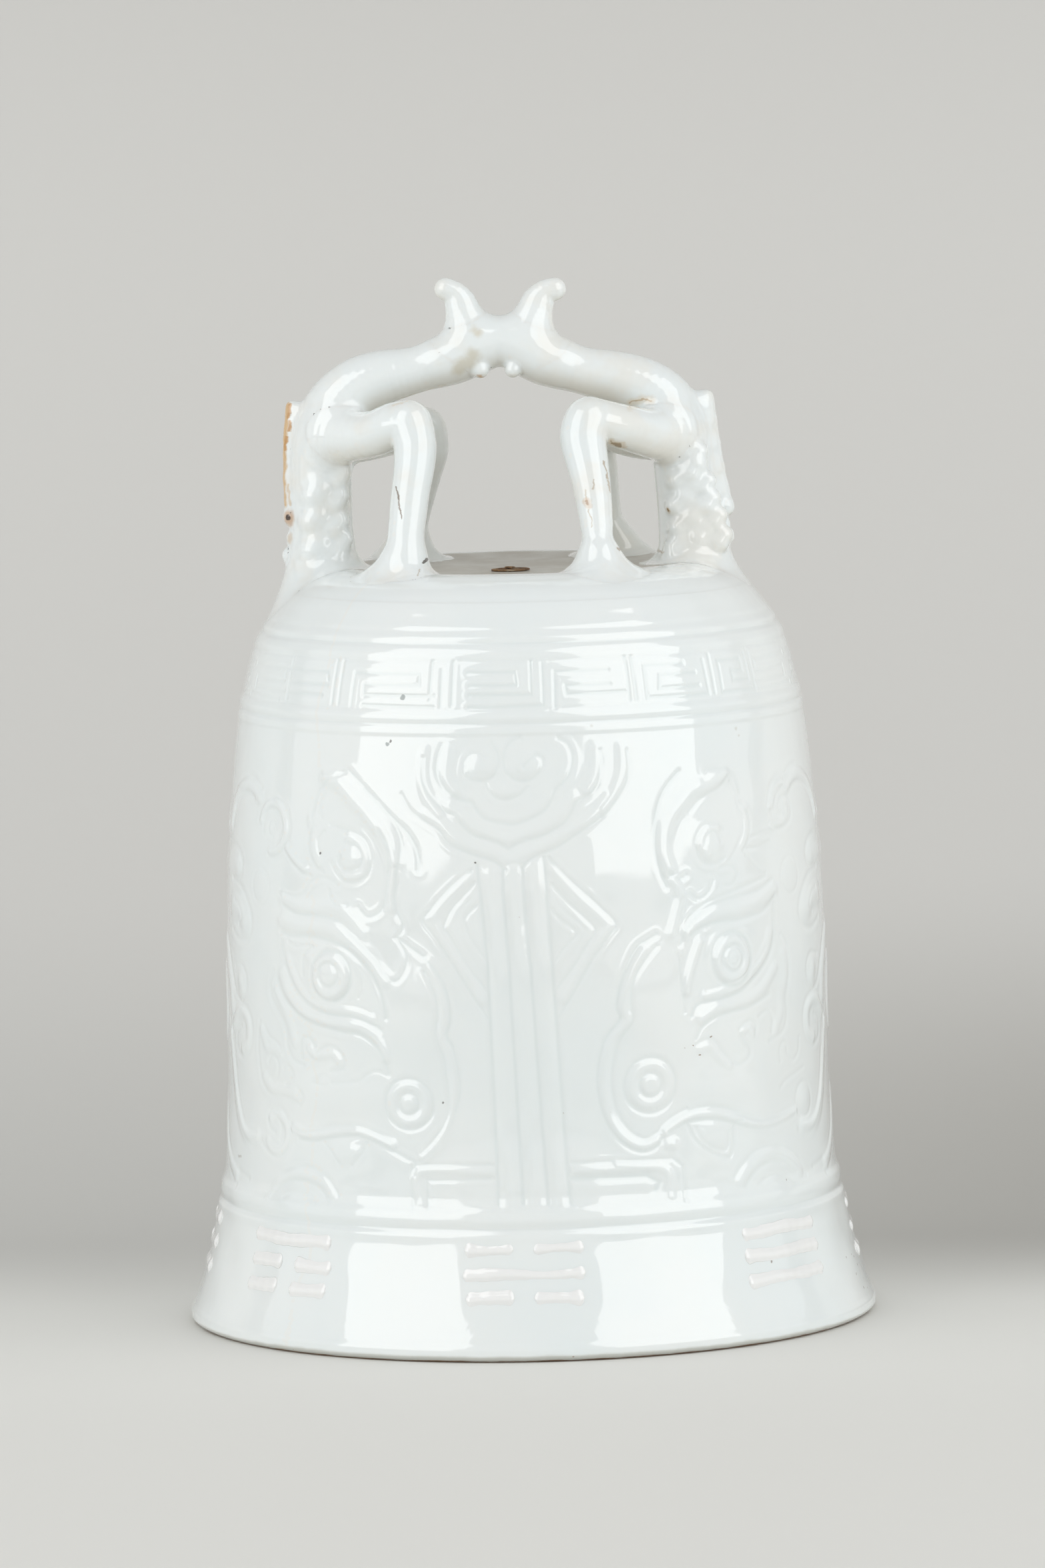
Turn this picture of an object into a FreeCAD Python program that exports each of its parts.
# Porcelain bell with a double-beast handle, a ring of eight raised trigrams and a hung clapper.
# Units: millimetres. Origin: centre of the foot rim, on the plane the bell stands on. +Z up.
# +X runs along the handle, from the left beast to the right beast; -Y is the front.
import FreeCAD, Part
import math
import os

V = FreeCAD.Vector
X_DIR, Y_DIR, Z_DIR = V(1, 0, 0), V(0, 1, 0), V(0, 0, 1)
ORIGIN = V(0, 0, 0)
MIN_VOLUME = 0.05             # solids smaller than this are left out of the files

os.makedirs("parts", exist_ok=True)


# ---------------------------------------------------------------- helpers
def spline(points):
    """smooth edge through (radius, z) points, drawn in the XZ plane"""
    curve = Part.BSplineCurve()
    curve.interpolate([V(r, 0, z) for r, z in points])
    return curve.toShape()


def line(start, end):
    """straight edge between two (radius, z) points in the XZ plane"""
    return Part.makeLine(V(start[0], 0, start[1]), V(end[0], 0, end[1]))


def revolve(edges):
    face = Part.Face(Part.Wire(Part.__sortEdges__(edges)))
    return face.revolve(ORIGIN, Z_DIR, 360)


def cut_by(shape, cutters):
    """cut the shape by each cutter in turn"""
    for cutter in cutters:
        shape = shape.cut(cutter)
    return shape


def largest(shape):
    return max(shape.Solids, key=lambda solid: solid.Volume)


def made_positive(solid):
    """turn an inside-out solid the right way round"""
    if solid.Volume < 0:
        solid.reverse()
    return solid


# ---------------------------------------------------------------- wall and crown
FOOT_OUTER_R = 84.8           # outer edge of the bare foot face
FOOT_INNER_R = 78.6           # inner edge of the bare foot face
RIM_MAX_R = 86.7              # widest point of the flared skirt
SEAM_Z = 184.0                # plane where the crown disc is luted on to the wall
SEAM_OUTER_R = 58.0
SEAM_INNER_R = 52.5
CROWN_UNDER_Z = 182.0         # underside of the crown disc
DECK_EDGE_R = 44.0            # highest ring of the deck
DECK_EDGE_Z = 190.0
DECK_SAG = 2.2                # how far the middle of the deck dishes below its edge
HOLE_X = -2.0                 # the crown hole and the clapper sit a little off the axis
HOLE_R = 3.8                  # crown hole that the clapper hangs through
HOLE_CUT_Z = 175.0            # bottom of the hole cutter
HOLE_CUT_H = 20.0

# outer face of the wall, (z, radius), foot to seam
WALL_OUTER = [
    (0.0, FOOT_OUTER_R), (0.5, 85.8), (1.5, RIM_MAX_R), (3.0, 86.62), (5.0, 85.85), (7.7, 84.8),
    (11.0, 83.7), (14.5, 82.6), (18.0, 81.55), (21.3, 80.7), (24.7, 80.0), (28.0, 79.4),
    (30.2, 79.15), (31.9, 78.35), (33.4, 78.35), (35.4, 78.1), (37.4, 77.35), (41.7, 77.0),
    (48.5, 76.55), (55.0, 76.15), (62.0, 75.95), (69.0, 75.95), (76.0, 75.97), (82.5, 75.95),
    (89.0, 75.85), (96.0, 75.65), (102.8, 75.4), (109.5, 75.1), (116.3, 74.75), (123.0, 74.3),
    (130.0, 73.72), (136.6, 73.1), (143.0, 72.42), (149.0, 71.75), (153.0, 71.35), (155.0, 70.95),
    (157.2, 70.75), (159.2, 69.95), (163.5, 68.95), (167.0, 68.05), (169.8, 67.15),
    (171.4, 66.75), (173.4, 65.85), (174.5, 64.95), (176.0, 64.45), (177.6, 63.2),
    (180.4, 60.95), (182.4, 59.4), (SEAM_Z, SEAM_OUTER_R),
]
# inner face of the wall, (z, radius), foot to seam
WALL_INNER = [
    (0.0, FOOT_INNER_R), (1.0, 78.1), (3.5, 77.9), (10.0, 77.0), (20.0, 75.0), (30.0, 73.3),
    (42.0, 71.4), (55.0, 70.5), (70.0, 70.2), (85.0, 70.15), (100.0, 69.7), (115.0, 69.0),
    (130.0, 67.7), (143.0, 66.3), (155.0, 64.7), (165.0, 61.9), (172.0, 59.4), (178.0, 56.4),
    (SEAM_Z, SEAM_INNER_R),
]
# outer face of the crown disc, (radius, z), from the seam over the shoulder to the deck edge
SHOULDER = [
    (SEAM_OUTER_R, SEAM_Z), (56.1, 185.7), (53.4, 187.45), (50.0, 188.9), (46.8, 189.75),
    (DECK_EDGE_R, DECK_EDGE_Z),
]
DECK_RADII = (DECK_EDGE_R, 36, 28, 20, 12, 6, 0)


def deck_z(radius):
    """height of the dished deck at a radius"""
    return DECK_EDGE_Z - DECK_SAG * (1 - (radius / DECK_EDGE_R) ** 2)


def wall_spline(outline):
    return spline([(r, z) for z, r in outline])


def crown_top():
    """edges of the shoulder and the deck, from the seam to the axis"""
    return [spline(SHOULDER), spline([(r, deck_z(r)) for r in DECK_RADII])]


def upright_cylinder(radius, height, z):
    """cylinder standing at height z on the axis of the crown hole"""
    return Part.makeCylinder(radius, height, V(HOLE_X, 0, z), Z_DIR)


def make_wall():
    return revolve([
        wall_spline(WALL_OUTER),
        line((SEAM_OUTER_R, SEAM_Z), (SEAM_INNER_R, SEAM_Z)),
        wall_spline(WALL_INNER),
        line((FOOT_INNER_R, 0), (FOOT_OUTER_R, 0)),
    ])


def make_crown():
    crown = revolve(crown_top() + [
        line((0, deck_z(0)), (0, CROWN_UNDER_Z)),
        line((0, CROWN_UNDER_Z), (SEAM_INNER_R, CROWN_UNDER_Z)),
        line((SEAM_INNER_R, CROWN_UNDER_Z), (SEAM_INNER_R, SEAM_Z)),
        line((SEAM_INNER_R, SEAM_Z), (SEAM_OUTER_R, SEAM_Z)),
    ])
    return crown.cut(upright_cylinder(HOLE_R, HOLE_CUT_H, HOLE_CUT_Z))


def make_filled_bell():
    """solid copy of the bell, used only to trim the handle where it meets the bell"""
    return revolve([wall_spline(WALL_OUTER)] + crown_top() + [
        line((0, deck_z(0)), (0, 0)),
        line((0, 0), (FOOT_OUTER_R, 0)),
    ])


# ---------------------------------------------------------------- handle
SECTION_POINTS = 16           # points on each cross section of a limb
FIN_T = 4.2                   # thickness of the dorsal fins
CHIN_BEAD_Y = -3.6

# Limb stations: (x, y, z, half width in the XZ plane, half width across it)
BODIES = {
    "left": [
        (-49.0, 0, 176.0, 11.2, 13.0), (-48.8, 0, 186.0, 10.2, 12.0),
        (-48.7, 0, 192.0, 8.8, 10.8), (-48.9, 0, 199.0, 7.9, 10.0),
        (-48.9, 0, 207.0, 7.7, 9.6), (-48.7, 0, 215.0, 7.7, 9.6),
        (-47.4, 0, 222.5, 7.9, 9.6), (-44.6, 0, 228.8, 7.8, 9.3),
        (-40.0, 0, 233.4, 7.4, 8.8), (-33.5, 0, 236.3, 6.7, 8.2),
        (-26.5, 0, 238.0, 6.1, 7.6), (-19.5, 0, 240.0, 5.9, 7.3),
        (-13.5, 0, 241.8, 5.6, 7.1),
    ],
    "right": [
        (44.3, 0, 176.0, 11.2, 13.0), (44.2, 0, 186.0, 10.2, 12.0),
        (44.0, 0, 192.0, 8.9, 10.8), (43.4, 0, 199.0, 8.1, 10.0),
        (42.8, 0, 207.0, 7.8, 9.6), (42.2, 0, 215.0, 7.7, 9.6),
        (41.0, 0, 222.5, 7.8, 9.6), (38.3, 0, 228.4, 7.6, 9.3),
        (33.6, 0, 232.4, 7.2, 8.8), (27.0, 0, 234.9, 6.8, 8.2),
        (20.0, 0, 236.9, 6.3, 7.6), (13.0, 0, 238.7, 5.9, 7.3),
        (7.0, 0, 240.6, 5.8, 7.1),
    ],
}
HEADS = [
    (-16.0, 0, 241.4, 4.6, 6.4), (-12.0, 0, 242.6, 6.6, 7.6), (-7.0, 0, 244.6, 7.2, 7.9),
    (-3.2, 0, 245.4, 6.6, 7.2), (0.6, 0, 244.6, 7.2, 7.9), (5.4, 0, 242.2, 6.6, 7.6),
    (9.6, 0, 240.6, 4.6, 6.4),
]
HORNS = {
    "left": [
        (-10.5, 0, 243.0, 5.8, 4.4), (-12.0, 0, 248.0, 5.1, 4.1), (-12.6, 0, 252.5, 4.3, 3.7),
        (-13.4, 0, 256.0, 3.8, 3.3), (-15.2, 0, 258.4, 2.9, 2.9), (-17.0, 0, 259.0, 2.5, 2.5),
        (-18.3, 0, 259.3, 1.9, 1.9), (-19.2, 0, 259.4, 1.0, 1.0),
    ],
    "right": [
        (4.0, 0, 243.0, 5.8, 4.4), (5.3, 0, 248.0, 5.1, 4.1), (5.9, 0, 252.5, 4.3, 3.7),
        (7.0, 0, 256.0, 3.8, 3.3), (8.9, 0, 258.4, 2.9, 2.9), (10.9, 0, 258.8, 2.6, 2.6),
        (12.4, 0, 258.9, 2.0, 2.0), (13.4, 0, 258.8, 1.0, 1.0),
    ],
}
# beast, leg: (y of the foot before splay, knee x, foot x, hip x, hip z)
LEGS = {
    ("left", "front"): (-23.0, -24.6, -28.0, -46.5, 222.6),
    ("left", "rear"): (23.0, -22.6, -26.6, -46.5, 222.2),
    ("right", "front"): (-23.0, 17.6, 20.2, 41.0, 222.6),
    ("right", "rear"): (23.0, 19.0, 22.0, 41.0, 222.2),
}
OUTWARD = {"left": -1, "right": 1}    # X direction away from the middle of the handle
# outlines of the dorsal fins, (x, z)
FINS = {
    "left": [
        (-56.0, 231.8), (-57.3, 226.0), (-58.0, 219.0), (-58.4, 211.0), (-58.4, 204.5),
        (-54.0, 203.5), (-49.0, 212.0), (-48.0, 222.0), (-46.0, 230.0), (-51.0, 231.0),
    ],
    "right": [
        (50.0, 232.0), (50.8, 226.0), (51.5, 219.0), (52.4, 211.0), (53.6, 205.0),
        (49.0, 203.5), (44.0, 212.0), (43.0, 222.0), (40.0, 230.0), (45.0, 231.2),
    ],
}
# beads, (x, z, radius)
CHIN_BEADS = [(-8.4, 238.6, 2.3), (-0.2, 238.5, 2.3)]
SPINE_BEADS = {
    "left": [(-57.0, 202.0, 2.2), (-56.9, 197.2, 2.0), (-57.4, 192.8, 2.0)],
    "right": [(52.9, 202.2, 2.3), (52.4, 197.6, 2.0), (53.2, 193.4, 1.9)],
}


def section(centre, tangent, in_plane, across):
    """closed oval wire round the centre, square to the tangent"""
    tangent.normalize()
    normal = tangent.cross(Y_DIR)
    normal.normalize()
    side = normal.cross(tangent)
    points = []
    for k in range(SECTION_POINTS):
        angle = 2 * math.pi * k / SECTION_POINTS
        points.append(centre + normal * (in_plane * math.cos(angle))
                      - side * (-across * math.sin(angle)) * -1)
    curve = Part.BSplineCurve()
    curve.interpolate(points, True)
    return Part.Wire(curve.toShape())


def limb(stations):
    """smooth tapered tube through the stations"""
    centres = [V(*station[:3]) for station in stations]
    last = len(centres) - 1
    wires = []
    for i, station in enumerate(stations):
        tangent = centres[min(last, i + 1)] - centres[max(0, i - 1)]
        wires.append(section(centres[i], tangent, station[3], station[4]))
    return made_positive(Part.makeLoft(wires, True, False))


def leg(out, foot_y, knee_x, foot_x, hip_x, hip_z):
    """leg from the hip, in towards the knee and down to the foot on the bell"""
    # (x, share of foot_y, rise above the hip, half width in plane, half width across)
    path = [
        (hip_x, 0.30, 0.0, 6.0, 6.0),
        (hip_x - out * 6.0, 0.52, 0.6, 5.9, 5.6),
        (hip_x - out * 12.5, 0.78, 1.7, 5.5, 5.2),
        (knee_x + out * 2.6, 0.96, 2.6, 5.2, 5.0),
        (knee_x - out * 1.0, 1.02, 0.4, 5.4, 4.9),
        (knee_x - out * 1.0, 1.03, -4.5, 5.1, 4.8),
        (knee_x + out * 0.6, 1.03, -11.0, 4.6, 4.6),
        (foot_x - out * 0.6, 1.03, -18.0, 4.1, 4.3),
        (foot_x, 1.02, -25.0, 4.0, 4.2),
        (foot_x + out * 0.4, 1.02, -30.5, 4.8, 5.0),
        (foot_x + out * 1.0, 1.02, -34.5, 7.4, 6.6),
        (foot_x + out * 1.0, 1.02, -38.5, 8.6, 7.6),
    ]
    return limb([(x, foot_y * share, hip_z + rise, in_plane, across)
                 for x, share, rise, in_plane, across in path])


def fin(outline):
    """thin upright flange, centred on the XZ plane"""
    points = [V(x, -FIN_T / 2, z) for x, z in outline]
    face = Part.Face(Part.makePolygon(points + points[:1]))
    return face.extrude(V(0, FIN_T, 0))


def beads(stations, y, cutters):
    solids = []
    for x, z, radius in stations:
        solids += cut_by(Part.makeSphere(radius, V(x, y, z)), cutters).Solids
    return Part.makeCompound(solids)


def make_handle():
    """all handle pieces by name, each cut back by the pieces it grows from"""
    bell = make_filled_bell()
    bodies = {side: largest(limb(BODIES[side]).cut(bell)) for side in BODIES}
    both = [bodies["left"], bodies["right"]]
    # the two heads grow together in the middle of the arch
    heads = largest(cut_by(limb(HEADS), both))
    pieces = {
        "joined_heads": heads,
        "chin_beads": beads(CHIN_BEADS, CHIN_BEAD_Y, [heads] + both),
    }
    for (side, end), sizes in LEGS.items():
        raw_leg = leg(OUTWARD[side], *sizes)
        pieces[f"{side}_beast_{end}_leg"] = largest(cut_by(raw_leg, [bell, bodies[side]]))
    for side, body in bodies.items():
        dorsal_fin = largest(fin(FINS[side]).cut(body))
        pieces[f"{side}_beast_body"] = body
        pieces[f"{side}_horn"] = largest(cut_by(limb(HORNS[side]), both + [heads]))
        pieces[f"{side}_dorsal_fin"] = dorsal_fin
        pieces[f"{side}_spine_beads"] = beads(SPINE_BEADS[side], 0, [body, dorsal_fin, bell])
    return pieces


# ---------------------------------------------------------------- eight raised trigrams
ROW_Z = (27.0, 21.1, 15.4)    # heights of the bars, top to bottom
BAR_R = 1.15                  # half width of a slip bar
BAR_RISE = 0.85 * BAR_R       # how far its crest stands out
SLIP_GAP = 0.03               # glaze film left between a slip bar and the wall
HALF_DEG = 10.5               # half the angle a whole bar spans
GAP_DEG = 1.8                 # half the gap in a broken bar
FRONT_DEG = -90.0             # angle of the front (-Y) from +X
# centre angle in degrees from the front, positive to the right;
# rows top to bottom, 1 is a whole bar, 0 a broken one
TRIGRAMS = {
    "trigram_kan": (-1.5, (0, 1, 0)),
    "trigram_qian": (51.0, (1, 1, 1)),
    "trigram_dui": (94.5, (0, 1, 1)),
    "trigram_kun": (138.0, (0, 0, 0)),
    "trigram_li": (182.0, (1, 0, 1)),
    "trigram_xun": (226.5, (1, 1, 0)),
    "trigram_zhen": (270.0, (0, 0, 1)),
    "trigram_gen": (311.3, (1, 0, 0)),
}


def bar(z, start_deg, end_deg, wall_curve):
    """rounded slip bar between two angles from the front"""
    def on_glaze(height, rise=0.0):
        ray = line((60, height), (100, height))
        wall_r = ray.distToShape(wall_curve)[1][0][0].x
        return V(wall_r + SLIP_GAP + rise, 0, height)

    low, high = on_glaze(z - BAR_R), on_glaze(z + BAR_R)
    arc = Part.Arc(low, on_glaze(z, BAR_RISE), high).toShape()
    face = Part.Face(Part.Wire([arc, Part.makeLine(high, low)]))
    face.rotate(ORIGIN, Z_DIR, start_deg + FRONT_DEG)
    return made_positive(face.revolve(ORIGIN, Z_DIR, end_deg - start_deg))


def turned(solid, degrees):
    copy = solid.copy()
    copy.rotate(ORIGIN, Z_DIR, degrees)
    return copy


def make_trigrams():
    wall_curve = wall_spline(WALL_OUTER)
    bars = {name: [] for name in TRIGRAMS}
    for row, z in enumerate(ROW_Z):
        whole_bar = bar(z, -HALF_DEG, HALF_DEG, wall_curve)
        half_bar = bar(z, -HALF_DEG, -GAP_DEG, wall_curve)
        for name, (centre, rows) in TRIGRAMS.items():
            if rows[row]:
                bars[name].append(turned(whole_bar, centre))
            else:
                bars[name].append(turned(half_bar, centre))
                bars[name].append(turned(half_bar, centre + HALF_DEG + GAP_DEG))
    return {name: Part.makeCompound(solids) for name, solids in bars.items()}


# ---------------------------------------------------------------- clapper and its suspension
COIL_R = 5.2                  # flat coil lying over the crown hole; it carries the hanger
COIL_T = 0.6
COIL_BORE_R = 0.75
COIL_FILLET = 0.2
COIL_Z = deck_z(abs(HOLE_X) + COIL_R) + 0.05
HEAD_R = 1.5                  # turned-over head of the wire, above the coil
HEAD_T = 0.35
HEAD_Z = COIL_Z + COIL_T + 0.02
WIRE_R = 0.6                  # suspension wire
WIRE_IN_STIRRUP = 0.4         # overlap of the wire with the top of the stirrup
WIRE_IN_HEAD = 0.1            # overlap of the wire with its head

PIVOT_Z = 171.0               # hinge axis: the straight rung the clapper hangs on
RUNG_R = 0.8
RUNG_END = 0.3                # how far the rung stands out of each side of the stirrup
RUNG_CLEAR = 0.08             # running clearance of the stem's eye on the rung
STIRRUP_HALF = 2.0            # from the middle of the stirrup to the middle of each side
STIRRUP_T = 1.2               # thickness of the beaten stirrup
STIRRUP_W = 2.2               # width of the beaten stirrup
STIRRUP_TOP = PIVOT_Z + 5.6
STIRRUP_BOTTOM = PIVOT_Z - 1.4

BOB_R = 13.0                  # turned wooden striker
BOB_Z = 43.0                  # its widest ring, at rest
BOB_TOP = BOB_Z + 24.0
STEM_R = 1.3
STEM_EYE_R = 2.7              # outside radius of the flattened eye at the top of the stem
STEM_EYE_T = 2.4              # its thickness along the rung
EYE_CUT_L = 6.0               # length of the cutter that drills the eye
STEM_TOP = PIVOT_Z - STEM_EYE_R + 0.7
STEM_BOTTOM = BOB_Z - BOB_R * 1.35
RIVET_R = STEM_R * 1.9        # foot of the stem, under the bob
RIVET_T = 1.4
BOB_BOTTOM = STEM_BOTTOM + RIVET_T
BOB_BOTTOM_R = 4.6
# outline of the bob, (radius, z), top to bottom
BOB_OUTLINE = [
    (STEM_R, BOB_TOP), (3.6, BOB_Z + 23.4), (4.2, BOB_Z + 21.5), (4.3, BOB_Z + 18.0),
    (5.6, BOB_Z + 14.0), (8.8, BOB_Z + 9.0), (12.0, BOB_Z + 4.4), (BOB_R, BOB_Z),
    (12.2, BOB_Z - 5.0), (9.6, BOB_Z - 9.5), (6.0, BOB_Z - 13.2), (BOB_BOTTOM_R, BOB_BOTTOM),
]


def pivot_cylinder(radius, length):
    """cylinder along Y, centred on the hinge axis"""
    return Part.makeCylinder(radius, length, V(HOLE_X, -length / 2, PIVOT_Z), Y_DIR)


def make_coil():
    coil = upright_cylinder(COIL_R, COIL_T, COIL_Z)
    coil = coil.cut(upright_cylinder(COIL_BORE_R, 4, COIL_Z - 2))
    outer_rims = [e for e in coil.Edges if abs(e.BoundBox.XLength - 2 * COIL_R) < 0.01]
    return coil.makeFillet(COIL_FILLET, outer_rims)


def make_suspension():
    """stirrup with a rung along Y, on a wire turned over above the coil"""
    inner_y = STIRRUP_HALF - STIRRUP_T / 2
    outer_y = STIRRUP_HALF + STIRRUP_T / 2
    left_x = HOLE_X - STIRRUP_W / 2
    shape = Part.makeBox(STIRRUP_W, 2 * outer_y, STIRRUP_T,
                         V(left_x, -outer_y, STIRRUP_TOP - STIRRUP_T))
    for y in (-outer_y, inner_y):
        shape = shape.fuse(Part.makeBox(STIRRUP_W, STIRRUP_T, STIRRUP_TOP - STIRRUP_BOTTOM,
                                        V(left_x, y, STIRRUP_BOTTOM)))
    shape = shape.removeSplitter()
    shape = shape.fuse(pivot_cylinder(RUNG_R, 2 * (outer_y + RUNG_END)))
    wire_bottom = STIRRUP_TOP - WIRE_IN_STIRRUP
    shape = shape.fuse(upright_cylinder(WIRE_R, HEAD_Z + WIRE_IN_HEAD - wire_bottom, wire_bottom))
    return shape.fuse(upright_cylinder(HEAD_R, HEAD_T, HEAD_Z))


def make_stem():
    """stem whose top is forged flat and drilled: that eye turns on the rung"""
    stem = pivot_cylinder(STEM_EYE_R, STEM_EYE_T)
    stem = stem.fuse(upright_cylinder(STEM_R, STEM_TOP - STEM_BOTTOM, STEM_BOTTOM))
    stem = stem.cut(pivot_cylinder(RUNG_R + RUNG_CLEAR, EYE_CUT_L))
    return stem.fuse(upright_cylinder(RIVET_R, RIVET_T, STEM_BOTTOM))


def make_bob():
    bob = revolve([
        spline(BOB_OUTLINE),
        line((STEM_R, BOB_TOP), (STEM_R, BOB_BOTTOM)),
        line((STEM_R, BOB_BOTTOM), (BOB_BOTTOM_R, BOB_BOTTOM)),
    ])
    bob.translate(X_DIR * HOLE_X)
    return bob


# ---------------------------------------------------------------- one STEP file per piece
NODES = {
    "bell_wall": make_wall(),
    "crown_disc": make_crown(),
    **make_handle(),
    "hanger_coil": make_coil(),
    "suspension_wire": make_suspension(),
    "clapper_stem": make_stem(),
    "clapper_bob": make_bob(),
    **make_trigrams(),
}
for name, shape in NODES.items():
    solids = [solid for solid in shape.Solids if abs(solid.Volume) > MIN_VOLUME]
    piece = solids[0] if len(solids) == 1 else Part.makeCompound(solids)
    piece.exportStep(f"parts/{name}.step")
